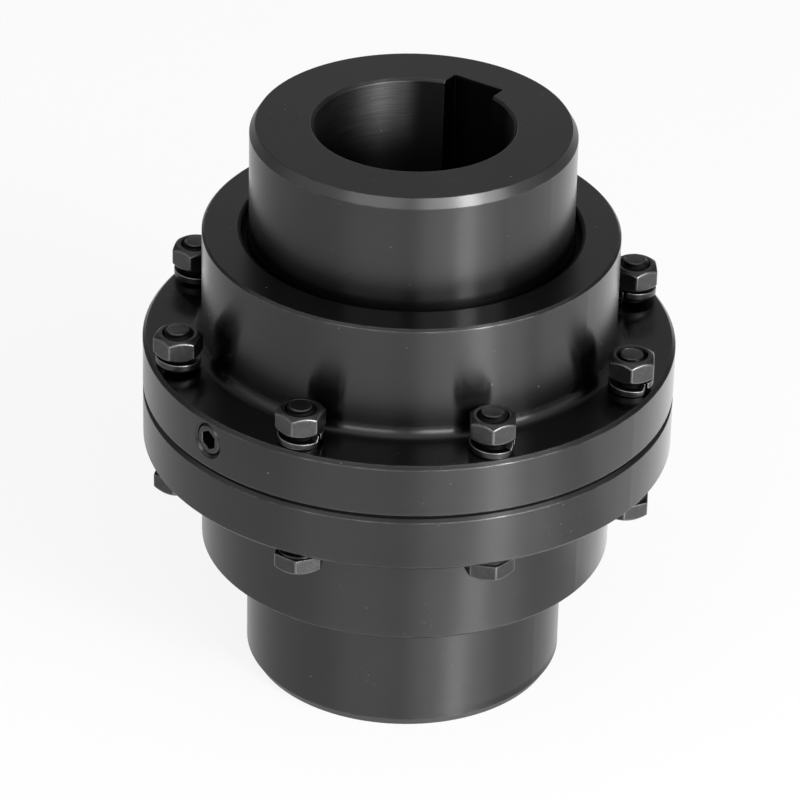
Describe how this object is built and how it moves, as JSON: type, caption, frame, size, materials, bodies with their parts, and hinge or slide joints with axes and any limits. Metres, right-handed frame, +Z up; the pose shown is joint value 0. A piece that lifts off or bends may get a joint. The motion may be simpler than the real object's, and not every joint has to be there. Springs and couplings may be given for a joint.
{
  "type": "gear coupling",
  "caption": "Flanged gear coupling that joins two shafts: crowned external teeth on each hub run in the internal teeth of two sleeves bolted together, so the shafts may tilt and float.",
  "frame": {"origin": "on the axis, in the plane of the lower hub's end face, on which it stands", "axes": "+Z up along the shaft axis from the lower hub to the upper hub, +Y towards both keyways"},
  "size_m": [0.149, 0.149, 0.168],
  "materials": {
    "hub_steel": "turned steel, blackened and oiled, satin",
    "sleeve_steel": "turned steel, blackened and oiled, satin",
    "bolt_steel": "forged steel, blackened",
    "spring_steel": "coiled spring steel, blackened",
    "plug_steel": "steel, blackened",
    "seal_rubber": "smooth rubber, greased",
    "gasket_paper": "oiled gasket sheet"
  },
  "bodies": {
    "lower_hub": {"lower_hub": "hub_steel"},
    "lower_seal": {"lower_seal_ring": "seal_rubber"},
    "sleeves": {"lower_sleeve": "sleeve_steel", "upper_sleeve": "sleeve_steel", "joint_gasket": "gasket_paper", "bolt_1": "bolt_steel", "bolt_2": "bolt_steel", "bolt_3": "bolt_steel", "bolt_4": "bolt_steel", "bolt_5": "bolt_steel", "bolt_6": "bolt_steel", "bolt_7": "bolt_steel", "bolt_8": "bolt_steel", "nut_1": "bolt_steel", "nut_2": "bolt_steel", "nut_3": "bolt_steel", "nut_4": "bolt_steel", "nut_5": "bolt_steel", "nut_6": "bolt_steel", "nut_7": "bolt_steel", "nut_8": "bolt_steel", "spring_washer_1": "spring_steel", "spring_washer_2": "spring_steel", "spring_washer_3": "spring_steel", "spring_washer_4": "spring_steel", "spring_washer_5": "spring_steel", "spring_washer_6": "spring_steel", "spring_washer_7": "spring_steel", "spring_washer_8": "spring_steel", "grease_plug_1": "plug_steel", "grease_plug_2": "plug_steel"},
    "upper_seal": {"upper_seal_ring": "seal_rubber"},
    "upper_hub": {"upper_hub": "hub_steel"}
  },
  "joints": [
    {"name": "lower_float", "type": "slide", "parent": "lower_hub", "child": "lower_seal", "axis": [0, 0, 1], "range_m": [-0.0006, 0.0034]},
    {"name": "lower_tilt", "type": "hinge", "parent": "lower_seal", "child": "sleeves", "pos_m": [0, 0, 0.0655], "axis": [1, 0, 0], "range_deg": [-1.5, 1.5]},
    {"name": "upper_tilt", "type": "hinge", "parent": "sleeves", "child": "upper_seal", "pos_m": [0, 0, 0.1025], "axis": [1, 0, 0], "range_deg": [-1.5, 1.5]},
    {"name": "upper_float", "type": "slide", "parent": "upper_seal", "child": "upper_hub", "axis": [0, 0, 1], "range_m": [-0.0006, 0.0044]}
  ]
}
